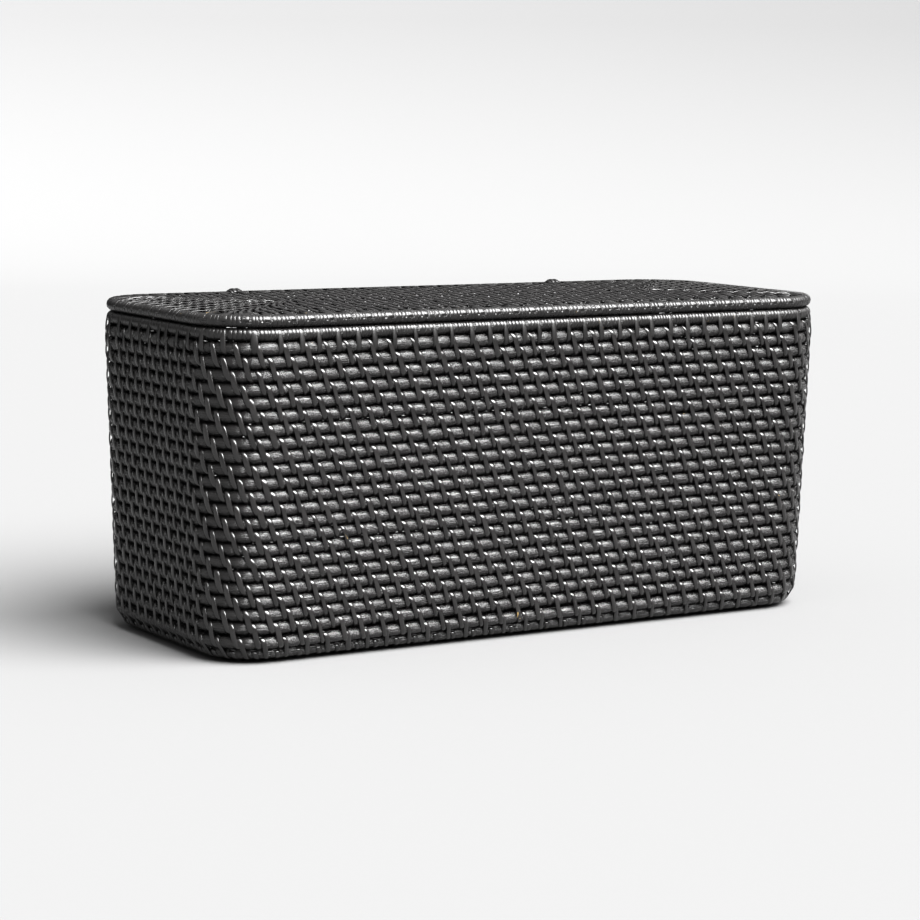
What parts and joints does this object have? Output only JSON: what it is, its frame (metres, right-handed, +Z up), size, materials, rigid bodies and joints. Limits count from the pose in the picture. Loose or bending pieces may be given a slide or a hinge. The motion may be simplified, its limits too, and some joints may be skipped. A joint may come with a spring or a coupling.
{
  "type": "lidded storage basket",
  "caption": "Rectangular black coiled rattan storage basket with rounded corners, wrapped rims and a flat lid lashed on along the back.",
  "frame": {"origin": "on the floor, under the middle of the closed basket", "axes": "+Z up; +X along the length; +Y towards the back, where the lid is lashed on; the front faces -Y"},
  "size_m": [0.45, 0.1869, 0.2066],
  "materials": {
    "rattan_rod": "rattan core dyed black, satin, fine lengthwise grain",
    "flat_cane": "flat binding cane dyed black, satin to glossy, worn in places"
  },
  "bodies": {
    "basket": {"base_course_01": "rattan_rod", "base_course_02": "rattan_rod", "base_course_03": "rattan_rod", "base_course_04": "rattan_rod", "base_course_05": "rattan_rod", "base_course_06": "rattan_rod", "base_course_07": "rattan_rod", "base_course_08": "rattan_rod", "base_start_rod": "rattan_rod", "body_rim_rod": "rattan_rod", "body_rim_wrap_left": "flat_cane", "body_rim_wrap_right": "flat_cane", "foot_course_01": "rattan_rod", "foot_course_02": "rattan_rod", "foot_course_03": "rattan_rod", "hinge_lashing_left": "flat_cane", "hinge_lashing_right": "flat_cane", "wall_course_01": "rattan_rod", "wall_course_02": "rattan_rod", "wall_course_03": "rattan_rod", "wall_course_04": "rattan_rod", "wall_course_05": "rattan_rod", "wall_course_06": "rattan_rod", "wall_course_07": "rattan_rod", "wall_course_08": "rattan_rod", "wall_course_09": "rattan_rod", "wall_course_10": "rattan_rod", "wall_course_11": "rattan_rod", "wall_course_12": "rattan_rod", "wall_course_13": "rattan_rod", "wall_course_14": "rattan_rod", "wall_course_15": "rattan_rod", "wall_course_16": "rattan_rod", "wall_course_17": "rattan_rod", "wall_course_18": "rattan_rod", "wall_course_19": "rattan_rod", "wall_course_20": "rattan_rod", "wall_course_21": "rattan_rod", "wall_course_22": "rattan_rod"},
    "lid": {"lid_course_01": "rattan_rod", "lid_course_02": "rattan_rod", "lid_course_03": "rattan_rod", "lid_course_04": "rattan_rod", "lid_course_05": "rattan_rod", "lid_course_06": "rattan_rod", "lid_course_07": "rattan_rod", "lid_course_08": "rattan_rod", "lid_course_09": "rattan_rod", "lid_course_10": "rattan_rod", "lid_rim_rod": "rattan_rod", "lid_rim_wrap_left": "flat_cane", "lid_rim_wrap_right": "flat_cane", "lid_start_rod": "rattan_rod"}
  },
  "joints": [
    {"name": "lid_hinge", "type": "hinge", "parent": "basket", "child": "lid", "pos_m": [0, 0.0889, 0.2016], "axis": [-1, 0, 0], "range_deg": [0, 180]}
  ]
}
